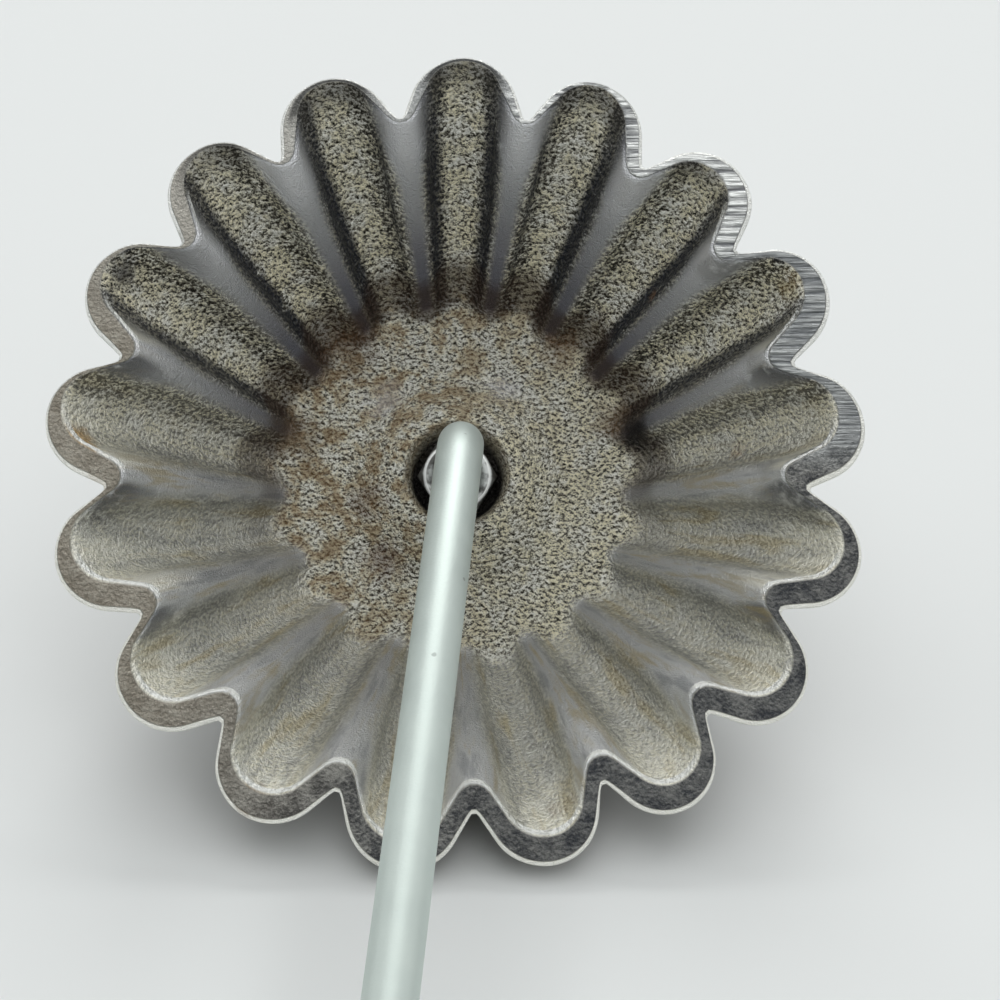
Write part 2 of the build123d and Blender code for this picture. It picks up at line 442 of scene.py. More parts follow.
def roughen(skin):
    station_layer = skin.verts.layers.float["station"]
    place_in_ring = skin.verts.layers.int["place_in_ring"]
    ridge_layer = skin.verts.layers.float.new("ridge")
    cup_place = skin.verts.layers.float_vector.new("cup_place")
    faces_up = skin.verts.layers.float.new("faces_up")
    ridges = [abs(across) for _, across in flute_places()]
    skin.normal_update()
    moves = []
    for vert in skin.verts:
        station = vert[station_layer]
        vert[ridge_layer] = ridges[vert[place_in_ring]]
        vert[cup_place] = vert.co
        vert[faces_up] = vert.normal.y
        slow, middling, fine = (noise.noise(vert.co / length) for length in wave_lengths)
        in_flutes = smooth_step(0.0, 0.06, station)
        channel = in_flutes * (1 - smooth_step(0.3, 0.8, vert[ridge_layer]))
        on_floor = smooth_step(1.0, 1.15, station)
        coarse = max(channel, on_floor)
        height = 0.10 * slow + 0.05 * middling + 0.06 * coarse * fine - 0.08
        if station < well_station:
            moves.append((vert, vert.normal * min(height, 0)))
    for vert, move in moves:
        vert.co += move


roughen(cup_skin)


# %% [markdown]
# ## From a skin to a piece
# A finished piece's object stays at the origin, and its place is in its mesh. So the mesh
# itself is turned from the cup's frame to the table.

# %% Make a piece
def make_piece(name, skin, body, node, material):
    bmesh.ops.transform(skin, matrix=cup_frame, verts=skin.verts)
    mesh = bpy.data.meshes.new(name)
    skin.to_mesh(mesh)
    skin.free()
    mesh.materials.append(material)
    for polygon in mesh.polygons:
        polygon.use_smooth = True
    piece = bpy.data.objects.new(name, mesh)
    bpy.context.scene.collection.objects.link(piece)
    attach(piece, body)
    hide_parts(node)
    print(name, "has", len(mesh.polygons), "faces")


# %% [markdown]
# ## Shader sums in plain words
# A finish is a graph of nodes. Writing it as sums reads better than wiring it by hand, so
# one small class wraps an output socket and lets it take part in sums with other numbers.

# %% Links and finishes
class Link:
    """An output socket of a material's node, which can be used in sums."""

    def __init__(self, finish, socket):
        self.finish = finish
        self.socket = socket

    def sum_with(self, operation, first, second):
        return self.finish.node("ShaderNodeMath", {"operation": operation}, {0: first, 1: second})

    def __add__(self, other):
        return self.sum_with("ADD", self, other)

    def __radd__(self, other):
        return self.sum_with("ADD", other, self)

    def __sub__(self, other):
        return self.sum_with("SUBTRACT", self, other)

    def __rsub__(self, other):
        return self.sum_with("SUBTRACT", other, self)

    def __mul__(self, other):
        return self.sum_with("MULTIPLY", self, other)

    def __rmul__(self, other):
        return self.sum_with("MULTIPLY", other, self)


class Finish:
    """A material whose nodes are all made by one method."""

    def __init__(self, name):
        self.material = bpy.data.materials.new(name)
        self.material.use_nodes = True
        self.tree = self.material.node_tree
        self.tree.nodes.clear()

    def node(self, kind, settings=None, inputs=None, output=0):
        made = self.tree.nodes.new(kind)
        for name, value in (settings or {}).items():
            setattr(made, name, value)
        for name, value in (inputs or {}).items():
            if isinstance(value, Link):
                self.tree.links.new(value.socket, made.inputs[name])
            else:
                made.inputs[name].default_value = value
        return Link(self, made.outputs[output]) if len(made.outputs) else None

    def attribute(self, name, output="Fac"):
        return self.node("ShaderNodeAttribute", {"attribute_name": name}, output=output)

    def of_vectors(self, operation, *vectors, output=0):
        inputs = dict(enumerate(vectors))
        return self.node("ShaderNodeVectorMath", {"operation": operation}, inputs, output)

    def stretched(self, place, stretch):
        return self.of_vectors("MULTIPLY", place, stretch)

    def part(self, place, axis):
        return self.node("ShaderNodeSeparateXYZ", {}, {0: place}, output=axis)

    def grain(self, place, size, detail=2.0, roughness=0.5, distortion=0.0):
        """Noise from 0 to 1, whose lumps are about as wide as size."""
        inputs = {
            "Vector": place,
            "Scale": 1 / size,
            "Detail": detail,
            "Roughness": roughness,
            "Distortion": distortion,
        }
        return self.node("ShaderNodeTexNoise", {}, inputs)

    def rise(self, value, low, high):
        """0 below low, 1 above high, and smooth between."""
        inputs = {"Value": value, "From Min": low, "From Max": high}
        return self.node("ShaderNodeMapRange", {"interpolation_type": "SMOOTHSTEP"}, inputs)

    def band(self, value, low, full, still_full, gone):
        """1 between full and still_full, and 0 below low and above gone."""
        return self.rise(value, low, full) * (1 - self.rise(value, still_full, gone))

    def mix(self, mask, low, high):
        inputs = {0: mask, 6: self.colour(low), 7: self.colour(high)}
        return self.node("ShaderNodeMix", {"data_type": "RGBA"}, inputs, output=2)

    def colour(self, value):
        return value if isinstance(value, Link) else (*value, 1)

    def bump(self, height, distance):
        inputs = {"Height": height, "Distance": distance, "Strength": 1.0}
        return self.node("ShaderNodeBump", {}, inputs)

    def surface(self, inputs):
        shader = self.node("ShaderNodeBsdfPrincipled", {}, inputs)
        self.node("ShaderNodeOutputMaterial", {}, {"Surface": shader})
        return self.material


# %% [markdown]
# ## Where things are on the cup
# The finish changes from place to place: the channels are grainy, the ridges smooth, the rim
# is filed on one side, and the floor is stained. So the cup's places are worked out first,
# each as a number from 0 to 1, from the station, the ridge number and the compass direction.

# %% Places on the cup
class CupPlaces:
    def __init__(self, finish):
        self.finish = finish
        self.place = finish.attribute("cup_place", "Vector")
        self.station = station = finish.attribute("station")
        self.ridge = ridge = finish.attribute("ridge")
        self.faces_up = finish.attribute("faces_up")
        flat_place = finish.stretched(self.place, (1, 1, 0))
        self.compass = finish.of_vectors("NORMALIZE", flat_place)
        self.right = finish.part(self.compass, 0)
        self.up = finish.part(self.compass, 1)

        self.on_floor = finish.rise(station, 1.02, 1.14)
        self.in_flutes = finish.rise(station, -0.40, -0.30) * (1 - self.on_floor)
        self.in_well = finish.rise(station, 2.9, 3.0)
        self.upper = finish.rise(self.up, -0.15, 0.5)
        self.at_sides = finish.rise(self.right * self.right, 0.5, 0.8)
        self.at_top = finish.rise(ridge, 0.75, 0.5) * finish.rise(self.up, 0.6, 0.8)
        self.near_rim = 1 - finish.rise(station, 0.0, 0.38)
        # The smooth crest of a ridge spreads towards the rim
        self.crest = self.in_flutes * finish.rise(ridge + self.near_rim * 0.14, 0.70, 0.95)
        self.side = self.in_flutes * finish.band(ridge, 0.20, 0.40, 0.72, 0.95)
        self.rim_face = finish.band(station, -1.25, -1.05, -0.42, -0.30)
        self.inner_edge = finish.band(station, -0.36, -0.24, -0.10, -0.02)
        # Kept only where the inner edge faces up, so its brightening is partly painted highlight
        self.inner_edge = self.inner_edge * finish.rise(self.faces_up, 0.0, 0.4)
        self.outer_edge = finish.band(station, -1.62, -1.52, -1.35, -1.15)
        self.outside = 1 - finish.rise(station, -2.0, -1.6)

    def toward(self, bearing):
        """1 at a bearing in degrees, clockwise from up, and less away from it."""
        angle = math.radians(bearing)
        return self.right * math.sin(angle) + self.up * math.cos(angle)

    def blot(self, centre, radius):
        """A stain with a ragged edge round a point of the cup."""
        away = self.finish.of_vectors("DISTANCE", self.place, centre, output=1)
        ragged = self.finish.grain(self.place, radius * 0.7, detail=4, roughness=0.65)
        return 1 - self.finish.rise(away + ragged * radius * 1.6, 0.9 * radius, 1.9 * radius)


# %% [markdown]
# ## Grain, painted relief light, clouds and scratches
# Sand leaves a coarse grain in the channels and on the floor. Its peaks are rubbed bright and its
# pits are dark with soot. Each lump is painted lighter on its upper side and darker on its lower
# side, as if lit from above, and the channels' middles get more of that painted light than their
# sides. Wider clouds and blots break up the edge of every stain, and a file has scratched the rim
# at the upper right.

# %% Grain of the cup
grain_width = 0.42
fine_width = 0.17
a_little_higher = (0, 0.14, 0)


class CupGrain(CupPlaces):
    """The cup's places, with the noises of its finish."""

    def __init__(self, finish):
        super().__init__(finish)
        place = self.place
        self.grains = finish.grain(place, grain_width)
        self.fine = finish.grain(place, fine_width)
        self.clouds = finish.grain(place, 8, detail=3)
        self.blots = finish.grain(place, 2.4, detail=4, roughness=0.62)
        self.hatch = finish.grain(finish.stretched(place, (0.08, 1, 1)), 0.55, detail=3)
        depth = finish.stretched(place, (0, 0, 0.12))
        round_cup = finish.stretched(self.compass, (flute_count, flute_count, flute_count))
        along_flutes = finish.of_vectors("ADD", round_cup, depth)
        self.streaks = finish.grain(along_flutes, 1.0, detail=4, roughness=0.6, distortion=0.3)

        in_channels = self.in_flutes * (1 - self.crest) * (0.25 + 0.75 * self.upper)
        self.grainy = self.on_floor + in_channels
        middle = 1 - finish.rise(self.ridge, 0.15, 0.45)
        # Painted light: the grain minus the grain a little higher makes each lump lighter on its
        # upper side and darker below
        above = finish.of_vectors("ADD", place, a_little_higher)
        painted_relief_light = self.grains - finish.grain(above, grain_width)
        lumps = self.grains * 0.6 + self.fine * 0.36 + painted_relief_light * 0.42 + 0.02
        # Painted light: the middles of the channels get more bright peaks and fewer dark pits than
        # their sides
        self.lumps = lumps + self.on_floor * 0.06 + middle * self.in_flutes * 0.07
        # Pits are dark with soot and peaks rubbed bright, and both are shifted by the painted
        # relief light: peaks towards the lit upper sides, pits towards the shaded lower sides
        self.pits_and_shaded_sides = 1 - finish.rise(self.lumps, 0.38, 0.55)
        self.peaks_and_lit_sides = finish.rise(self.lumps, 0.49, 0.64)

        # Real rubbing, with a painted highlight: the inner edge only where it faces up, the outer
        # edge most at the top
        edges = self.inner_edge + self.outer_edge * (0.5 + 0.4 * self.upper)
        self.rubbed_and_lit_edges = edges * finish.rise(self.blots, 0.30, 0.45)
        ragged_bearing = self.toward(50) + (self.blots - 0.5) * 0.10
        filed_side = finish.rise(ragged_bearing, 0.70, 0.78)
        self.filed = (self.rim_face + self.inner_edge * 0.5) * filed_side


# %% [markdown]
# ## Bare aluminium, with painted light and shade
# Bare aluminium is pale, but years of frying leave it grey. A painted highlight makes it lightest
# towards the rim of the lower flutes, which face the light, and painted shade makes it darkest
# down by the floor, with ochre streaks in the lower flutes. The ridges are smoother and a little
# blue, with a painted highlight. At the ends of the side flutes, what faces up gets a painted
# highlight and what faces down gets painted shade.

# %% Colour of the bare metal, with painted light and shade
def bare_metal_with_painted_light(finish, cup):
    colour = finish.mix(cup.clouds, (0.48, 0.49, 0.48), (0.74, 0.74, 0.68))
    # Painted highlight: near the rim, the lower flutes face the light from above
    lower_rim_highlight = cup.near_rim * (1 - cup.upper)
    colour = finish.mix(lower_rim_highlight * 0.8, colour, (0.95, 0.94, 0.84))

    # The crest colour carries a painted highlight: near the rim of the upper flutes, and paler in
    # the lower flutes, which face the light
    crest_colour_and_highlight = finish.mix(cup.clouds, (0.38, 0.395, 0.42), (0.58, 0.59, 0.61))
    crest_highlight = cup.near_rim * cup.upper
    crest_colour_and_highlight = finish.mix(crest_highlight * 0.8, crest_colour_and_highlight, (0.92, 0.93, 0.96))
    crest_colour_and_highlight = finish.mix((1 - cup.upper) * 0.35, crest_colour_and_highlight, (0.90, 0.91, 0.90))
    colour = finish.mix(cup.crest * 0.9, colour, crest_colour_and_highlight)

    # Painted highlight where the ends of the side flutes face up, and painted shade where they face
    # down
    at_end = cup.near_rim * cup.at_sides * cup.in_flutes
    lit_end_highlight = at_end * finish.rise(cup.faces_up, 0.15, 0.6)
    colour = finish.mix(lit_end_highlight * 0.7, colour, (1.0, 0.98, 0.86))
    shaded_channel_end = at_end * finish.rise(cup.faces_up, -0.1, -0.5) * finish.rise(cup.blots, 0.3, 0.5)
    colour = finish.mix(shaded_channel_end * 0.75, colour, (0.04, 0.042, 0.046))
    # Painted shade: darker deeper in the cup, and most in the upper flutes under the overhang
    deep_shade = finish.rise(cup.station, 0.2, 0.95) * cup.in_flutes * (0.22 + 0.6 * cup.upper)
    colour = finish.mix(deep_shade * (0.4 + 0.6 * cup.crest), colour, (0.10, 0.10, 0.14))

    streaked = cup.in_flutes * (1 - cup.upper)
    ochre = finish.rise(cup.streaks, 0.50, 0.68) * streaked
    colour = finish.mix(ochre * 0.65, colour, (0.48, 0.40, 0.22))
    grey = finish.rise(cup.streaks, 0.50, 0.34) * streaked
    return finish.mix(grey * 0.45, colour, (0.20, 0.215, 0.25))


def sand_grain_with_lit_sides(finish, cup, colour):
    colour = finish.mix(cup.grainy * 0.6, colour, (0.40, 0.37, 0.27))
    # Dark soot in the pits, with painted shade on the lower sides of the lumps, then a painted
    # highlight on the peaks and their upper sides
    colour = finish.mix(cup.pits_and_shaded_sides * cup.grainy * 0.97, colour, (0.022, 0.019, 0.013))
    warmer = finish.rise(cup.blots, 0.36, 0.6)
    lit_peak_colour = finish.mix(warmer, (1.0, 1.0, 0.93), (0.98, 0.92, 0.68))
    return finish.mix(cup.peaks_and_lit_sides * cup.grainy * 0.95, colour, lit_peak_colour)


# %% [markdown]
# ## Painted shade, burnt fat and stains
# The upper flutes are black along their up-facing sides and at their ends near the rim, which is
# painted shade under the cup's own overhang, and the seam where they meet the floor is dirty, with
# painted shade in its upper corner. Burnt fat lies in brown patches on the floor and fills the
# well, whose bottom and lower side get painted shadow. The single stains stand where the
# photograph shows them, and two pale patches on the upper side of the raised centre are painted
# highlight.

# %% Painted shade, shadow and stains
# Centre in the cup's frame, radius, colour and strength of each stain. The two pale ones on the
# raised centre's upper side are painted highlight.
stains_and_highlights = [
    ((-40.6, 0.3, 0), 2.6, (0.42, 0.24, 0.05), 0.8),
    ((-38.7, -4.1, -1), 2.2, (0.36, 0.22, 0.07), 0.6),
    ((-22.1, -38.3, 0), 2.6, (0.20, 0.12, 0.03), 0.9),
    ((-19.7, -32.4, -2.2), 2.0, (0.16, 0.07, 0.02), 0.9),
    ((9.9, -37.8, -0.9), 2.4, (0.24, 0.15, 0.06), 0.8),
    ((22.9, 18.9, -11.8), 1.5, (0.40, 0.18, 0.05), 0.5),
    ((32.3, 1.0, -12), 1.8, (0.42, 0.22, 0.05), 0.6),
    ((36.9, 18.2, -2), 2.4, (0.32, 0.22, 0.08), 0.6),
    ((-28.4, 0.8, -12), 1.6, (0.30, 0.17, 0.05), 0.6),
    ((-37.2, 19.4, -2), 3.0, (0.035, 0.033, 0.035), 0.85),
    ((21.3, 5.6, -20.7), 4.0, (0.012, 0.012, 0.014), 0.9),
    ((-12.6, 15.5, -22.0), 4.5, (0.12, 0.065, 0.03), 0.7),
    ((-18.3, 4.6, -22.7), 4.0, (0.16, 0.10, 0.05), 0.6),
    ((-8.3, -9.5, -22.7), 3.5, (0.15, 0.08, 0.05), 0.6),
    ((-10.1, -2.5, -22.0), 3.5, (0.17, 0.09, 0.04), 0.6),
    ((12.2, 15.6, -22.7), 3.0, (0.22, 0.13, 0.06), 0.6),
    ((18.0, 7.2, -22.7), 3.0, (0.20, 0.13, 0.07), 0.6),
    # Painted highlight, not stains: two pale patches on the upper side of the raised centre
    ((-8.4, 8.8, -22.7), 3.0, (0.85, 0.85, 0.88), 0.4),
    ((5.1, 10.1, -22.7), 3.0, (0.80, 0.80, 0.86), 0.4),
]
print("single stains", len(stains_and_highlights))


def shade_and_seam_dirt(finish, cup, colour):
    # Painted shade on the sides of the upper flutes that face up, under the cup's own overhang
    shaded_sides = finish.rise(cup.faces_up, -0.85, -0.42) * finish.rise(cup.blots, 0.2, 0.42)
    shaded_sides = cup.side * cup.upper * shaded_sides * (1 - 0.2 * cup.near_rim)
    colour = finish.mix(shaded_sides * 0.92, colour, (0.024, 0.028, 0.04))
    ragged_station = cup.station + cup.blots * 0.1
    # Painted shade at the ends of the top flutes near the rim
    shaded_channel_end = cup.in_flutes * finish.rise(ragged_station, 0.20, 0.05) * cup.at_top
    colour = finish.mix(shaded_channel_end * 0.65, colour, (0.05, 0.046, 0.038))
    # The seam where the flutes meet the floor: some dirt, and painted shade in its upper corner
    seam_dirt_and_shade = finish.band(ragged_station, 0.88, 1.0, 1.12, 1.2) * finish.rise(cup.up, -0.5, 0.3)
    return finish.mix(seam_dirt_and_shade * 0.7, colour, (0.06, 0.035, 0.02))


def burnt_fat_and_well_shadow(finish, cup, colour):
    rusty = finish.rise(cup.blots, 0.44, 0.64) * finish.rise(cup.toward(-70), -0.9, 0.7)
    colour = finish.mix(cup.on_floor * rusty * 0.7, colour, (0.30, 0.19, 0.09))
    for centre, radius, stain_colour, strength in stains_and_highlights:
        colour = finish.mix(cup.blot(centre, radius) * strength, colour, stain_colour)
    colour = finish.mix(cup.in_well * 0.7, colour, (0.24, 0.20, 0.14))
    # Painted shadow in the well: darkest at its bottom and on its lower side
    well_shade_level = finish.part(cup.place, 2) + finish.rise(cup.up, -0.9, 0.7) * 2.0
    well_shadow = finish.rise(well_shade_level, -18.6, -21.2)
    return finish.mix(cup.in_well * well_shadow * 0.97, colour, (0.008, 0.007, 0.007))


# %% [markdown]
# ## The rim
# The rim's face is left as cast over most of its length: dark and speckled, warmer at the
# left, darkest at the lower right and paler at the top. Its edges are rubbed bright, and a
# painted highlight is added where they face up: on the inner edge, and most on the outer edge at
# the top. At the upper right it is filed, with scratches across it.

# %% Colour of the rim
def rim_colours(finish, cup, colour):
    speckle = finish.rise(cup.lumps * 0.4 + cup.blots * 0.6, 0.36, 0.64)
    as_cast = finish.mix(speckle, (0.05, 0.053, 0.058), (0.32, 0.32, 0.30))
    towards_top = finish.rise(cup.up, 0.2, 0.8)
    towards_left = finish.rise(cup.toward(-85), 0.1, 0.8)
    towards_lower_right = finish.rise(cup.toward(140), 0.6, 0.95)
    as_cast = finish.mix(towards_top * 0.65, as_cast, (0.68, 0.70, 0.70))
    as_cast = finish.mix(towards_left * 0.4, as_cast, (0.55, 0.48, 0.36))
    as_cast = finish.mix(towards_lower_right * 0.4, as_cast, (0.03, 0.035, 0.045))
    sooty_tip = cup.at_top * finish.rise(cup.station, -0.9, -0.6)
    as_cast = finish.mix(sooty_tip * 0.85, as_cast, (0.05, 0.05, 0.047))
    colour = finish.mix(cup.rim_face, colour, as_cast)
    # Rubbed edges: real wear and a painted highlight
    colour = finish.mix(cup.rubbed_and_lit_edges, colour, (0.85, 0.86, 0.83))

    scratches = finish.rise(cup.hatch, 0.34, 0.60)
    filed_colour = finish.mix(scratches, (0.15, 0.155, 0.16), (0.62, 0.635, 0.62))
    greyer = finish.rise(cup.right, 0.74, 0.86)
    filed_colour = finish.mix(greyer * 0.65, filed_colour, (0.12, 0.13, 0.135))
    return finish.mix(cup.filed, colour, filed_colour)


# %% [markdown]
# ## The cup's finish
# The layers go on in the order in which the real cup got its metal, grain, soot and fat, and
# then the wear of the rim. Painted light rides in them: highlights on the lower flutes, the
# grains' upper sides and the up-facing edges, and shade on the upper flutes and in the well. The
# smooth places are the most metallic, because soot and fat cover the grainy ones, and the grain
# also stands up as a bump.

# %% Finish of the cup
def cast_aluminium():
    finish = Finish("cast_aluminium")
    cup = CupGrain(finish)
    colour = bare_metal_with_painted_light(finish, cup)
    for layer in (sand_grain_with_lit_sides, shade_and_seam_dirt, burnt_fat_and_well_shadow, rim_colours):
        colour = layer(finish, cup, colour)
    outside_colour = finish.mix(cup.clouds, (0.20, 0.17, 0.14), (0.42, 0.41, 0.38))
    colour = finish.mix(cup.outside, colour, outside_colour)

    coarse = cup.grainy + cup.outside * 0.5 + cup.rim_face * 0.6
    height = cup.grains * (0.1 + 0.9 * coarse) + cup.fine * 0.2
    height = height * (1 - cup.filed * 0.9) + cup.hatch * cup.filed * 0.7
    bare = cup.in_flutes * (1 - cup.grainy * 0.5)
    worn_and_lit = cup.filed + cup.rubbed_and_lit_edges
    lit_peaks_shown = cup.peaks_and_lit_sides * cup.grainy
    return finish.surface(
        {
            "Base Color": colour,
            "Metallic": (0.6 + 0.35 * (bare + worn_and_lit)) * (1 - 0.75 * lit_peaks_shown),
            "Roughness": finish.rise(cup.fine, 0.2, 0.9) * 0.12 + 0.38 - 0.08 * worn_and_lit,
            "Normal": finish.bump(height, 0.0009),
        }
    )


make_piece("cup_casting", cup_skin, "cup", "fluted_mould", cast_aluminium())

# %% [markdown]
# ## The rod
# The rod is one 5 mm wire. Its end is threaded, with the groove rolled in, and it screws
# into the cup's floor. Just above the rim it bends toward the handle. The threaded end
# is grown ring by ring with a helical groove, the bend is a spin and the long leg an extrude.

# %% Rod
thread_pitch = 0.8
thread_turns = 5.5
thread_length = 8.5
thread_groove = 0.45
thread_steps_per_turn = 8
tip_chamfer = 0.6
bend_above_rim = 2.6
bend_angle = math.radians(53.0)
bend_radius = 10.0
rod_turn = math.radians(7.0)
bare_length = 88.0
tang_length = 46.0
tang_chamfer = 0.8
rod_points = 48

sideways = Vector((-math.sin(rod_turn), -math.cos(rod_turn), 0))
lean = sideways * math.sin(bend_angle) + Vector((0, 0, math.cos(bend_angle)))
bend_corner = Vector((0, 0, bend_above_rim))
print("turns of thread on the rod", round(thread_length / thread_pitch, 1))


def rod_ring(height, radius_at):
    angles = [2 * math.pi * point / rod_points for point in range(rod_points)]
    return [Vector((*(radius_at(angle) * direction(angle)), height)) for angle in angles]


def threaded_rings(tip):
    """A groove that winds down the rod, chamfered at the tip and fading out at its upper end."""
    steps = round(thread_length / thread_pitch * thread_steps_per_turn)
    fading_out_at = thread_length - thread_pitch
    for step in range(steps + 1):
        height = thread_length * step / steps
        depth = thread_groove * (1 - smooth_step(fading_out_at, thread_length, height))

        def radius_at(angle):
            turn = height / thread_pitch + angle / (2 * math.pi)
            in_groove = smooth_step(0.15, 0.85, abs(2 * (turn % 1) - 1))
            return min(rod_radius - depth * in_groove, rod_radius - tip_chamfer + height)

        yield rod_ring(tip + height, radius_at), 0


def bent_rod():
    tip = -cavity_depth - thread_turns * thread_pitch
    tangent = bend_radius * math.tan(bend_angle / 2)
    bend_start = bend_above_rim - tangent
    end_cap = (rod_ring(tip, lambda angle: 0.2), 0)
    plain = (rod_ring(bend_start, lambda angle: rod_radius), 1)
    skin = grow_skin([end_cap, *threaded_rings(tip), plain])
    open_edges = [edge for edge in skin.edges if edge.is_boundary]
    last = [edge for edge in open_edges if edge.verts[0].co.z > bend_start - 0.01]
    centre = Vector((0, 0, bend_start)) + sideways * bend_radius
    axis = Vector((0, 0, 1)).cross(sideways)
    spun = bmesh.ops.spin(skin, geom=last, cent=centre, axis=axis, angle=bend_angle, steps=24)
    last = [item for item in spun["geom_last"] if isinstance(item, bmesh.types.BMEdge)]
    leg = bare_length + tang_length - tangent
    narrowed = (rod_radius - tang_chamfer) / rod_radius
    for length, shrink in ((leg - tang_chamfer, 1), (tang_chamfer, narrowed), (0, 0.05)):
        ring, last = grown_ring(skin, last)
        middle = sum((vert.co for vert in ring), Vector()) / len(ring)
        for vert in ring:
            vert.co = middle + (vert.co - middle) * shrink + lean * length
    bmesh.ops.remove_doubles(skin, verts=skin.verts, dist=same_place)
    close_ends(skin)
    return skin


# %% [markdown]
# ## Zinc plate
# The rod and the ferrule are steel with a thin coat of zinc. On the rod the plate is matte
# and pale, a little green, with small dark specks. On the ferrule, which the hot fat doesn't
# reach, it is brighter. Object coordinates are metres here, so the sizes are small numbers.

# %% Finish of the plated pieces
def zinc_plate(name, pale, dark, metallic, roughness):
    finish = Finish(name)
    place = finish.node("ShaderNodeTexCoord", output="Object")
    clouds = finish.grain(place, 0.004, detail=4)
    fine = finish.grain(place, 0.0004, detail=2)
    specks = finish.rise(finish.grain(place, 0.0016, detail=1), 0.76, 0.80)
    tint = finish.mix(clouds, dark, pale)
    tint = finish.mix(specks * 0.4, tint, (0.08, 0.08, 0.08))
    return finish.surface(
        {
            "Base Color": tint,
            "Metallic": metallic,
            "Roughness": clouds * 0.15 + roughness,
            "Normal": finish.bump(fine, 0.00002),
        }
    )


rod_plate = zinc_plate("rod_plate", (0.66, 0.73, 0.69), (0.54, 0.61, 0.58), 0.7, 0.46)
make_piece("bent_rod", bent_rod(), "handled_rod", "rod", rod_plate)

# %% [markdown]
# ## The lock nut
# A thin hexagon nut keeps the rod from turning in the cup. Its upper corners are turned off
# at 30 degrees, which leaves an arc on each flat. One ring of points serves the hexagon and
# the round hole alike. Down in the well the nut is dark with burnt fat, and only its turned
# corners still shine.

# %% Lock nut
nut_across_flats = 8.0
nut_thickness = 2.7
nut_chamfer = math.tan(math.radians(30))
nut_face_radius = 3.8
nut_edge = 0.05
bore_chamfer = 0.35
bore_chamfer_depth = 0.3
nut_points = 96


def nut_ring(height, radius_at):
    angles = [2 * math.pi * point / nut_points for point in range(nut_points)]
    radii = [radius_at(angle) for angle in angles]
    return [Vector((*(r * direction(angle)), height(r))) for r, angle in zip(radii, angles)]


def hexagon(angle):
    from_flat = (angle + math.pi / 6) % (math.pi / 3) - math.pi / 6
    return nut_across_flats / 2 / math.cos(from_flat)


def lock_nut():
    low = -cavity_depth
    top = low + nut_thickness
    bore = rod_radius + thread_clearance

    def chamfer(radius):
        return top - (radius - nut_face_radius) * nut_chamfer

    rings = [
        nut_ring(lambda r: low, lambda angle: bore),
        nut_ring(lambda r: low, lambda angle: hexagon(angle) - 3 * nut_edge),
        nut_ring(lambda r: low + 2 * nut_edge, hexagon),
        nut_ring(lambda r: chamfer(r) - nut_edge, hexagon),
        nut_ring(chamfer, lambda angle: hexagon(angle) - 0.8 * nut_edge),
        nut_ring(lambda r: top, lambda angle: nut_face_radius),
        nut_ring(lambda r: top, lambda angle: bore + bore_chamfer),
        nut_ring(lambda r: top - bore_chamfer_depth, lambda angle: bore),
        nut_ring(lambda r: low, lambda angle: bore),
    ]
    skin = grow_skin([(ring, number) for number, ring in enumerate(rings)])
    bmesh.ops.remove_doubles(skin, verts=skin.verts, dist=same_place)
    bmesh.ops.recalc_face_normals(skin, faces=skin.faces)
    from_axis = skin.verts.layers.float.new("from_axis")
    for vert in skin.verts:
        vert[from_axis] = vert.co.xy.length
    return skin


def burnt_plate():
    """Dirty on the flats, mottled on the face, and bright on the turned ring between them."""
    finish = Finish("nut_plate")
    place = finish.node("ShaderNodeTexCoord", output="Object")
    from_axis = finish.attribute("from_axis")
    dirt = finish.grain(place, 0.0012, detail=4)
    mottled = finish.rise(dirt, 0.40, 0.62)
    on_flats = finish.rise(from_axis, 3.9, 4.1)
    colour = finish.mix(mottled, (0.07, 0.07, 0.065), (0.50, 0.52, 0.51))
    colour = finish.mix(on_flats * 0.8, colour, (0.08, 0.078, 0.072))
    turned = finish.band(from_axis, 3.55, 3.7, 3.85, 4.0)
    colour = finish.mix(turned * 0.8, colour, (0.92, 0.94, 0.92))
    return finish.surface({"Base Color": colour, "Metallic": 0.6, "Roughness": dirt * 0.2 + 0.3})


make_piece("hexagon_nut", lock_nut(), "nut", "lock_nut", burnt_plate())

# %% [markdown]
# ## Turned pieces
# The ferrule is drawn from sheet and the handle is turned on a lathe, so each is a section
# spun round the long leg of the rod. The section's first number is a radius and its second
# the distance from the bend's corner.

# %% Spinning a section
along_rod = lean.to_track_quat("Z", "Y").to_matrix().to_4x4()
handle_frame = Matrix.Translation(bend_corner) @ along_rod


def spun_section(section, closed):
    skin = bmesh.new()
    turned_place = skin.verts.layers.float_vector.new("turned_place")
    verts = [skin.verts.new((radius, 0, along)) for radius, along in section]
    pairs = list(zip(verts, verts[1:]))
    if closed:
        pairs.append((verts[-1], verts[0]))
    edges = [skin.edges.new(pair) for pair in pairs]
    turn = {"cent": (0, 0, 0), "axis": (0, 0, 1), "angle": 2 * math.pi}
    bmesh.ops.spin(skin, geom=verts + edges, **turn, steps=96, use_merge=True)
    bmesh.ops.remove_doubles(skin, verts=skin.verts, dist=same_place)
    bmesh.ops.recalc_face_normals(skin, faces=skin.faces)
    for vert in skin.verts:
        vert[turned_place] = vert.co
    bmesh.ops.transform(skin, matrix=handle_frame, verts=skin.verts)
    return skin


# %% [markdown]
# ## The ferrule
# A ferrule keeps the wood from splitting where the tang is driven in. It is out of the
# photograph's view, so it is a plain tapered cap with soft edges.

# %% Ferrule
ferrule_length = 15.0
ferrule_wall = 0.8
ferrule_front_radius = 5.6
ferrule_back_radius = 6.6


